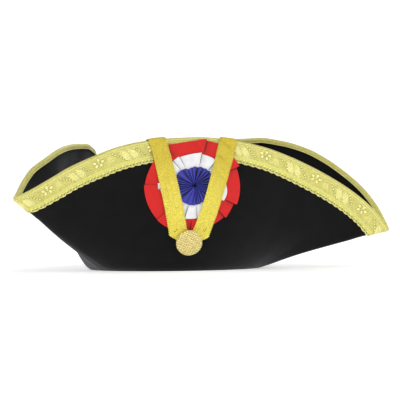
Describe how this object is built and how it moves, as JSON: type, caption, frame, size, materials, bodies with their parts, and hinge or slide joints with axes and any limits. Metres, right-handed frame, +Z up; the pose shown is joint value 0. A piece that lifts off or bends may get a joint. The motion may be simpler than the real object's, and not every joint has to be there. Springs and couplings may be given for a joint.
{
  "type": "tricorn hat",
  "caption": "Black felt hat with its brim turned up on three sides, gold braid along the edge, and a pleated rosette held by a ribbon V and a round button.",
  "frame": {"origin": "on the surface that the hat rests on, under the middle of its outline seen from above", "axes": "+Z up, -Y toward the front tip, +X toward the wearer's left, where the rosette is"},
  "size_m": [0.4096, 0.351, 0.1463],
  "materials": {
    "black_felt": "matte wool felt, lightly fuzzed",
    "gold_braid": "woven metallic galloon, floral relief",
    "red_ribbon": "pleated ribbed ribbon",
    "white_ribbon": "pleated ribbed ribbon",
    "blue_ribbon": "gathered ribbed ribbon",
    "gold_ribbon": "ribbed metallic ribbon",
    "button_gold": "thread-woven dome on a button"
  },
  "bodies": {
    "root": {"felt_body": "black_felt", "edge_braid": "gold_braid", "rosette_red": "red_ribbon", "rosette_white": "white_ribbon", "rosette_blue": "blue_ribbon", "ribbon_left": "gold_ribbon", "ribbon_right": "gold_ribbon", "button": "button_gold"}
  },
  "joints": []
}
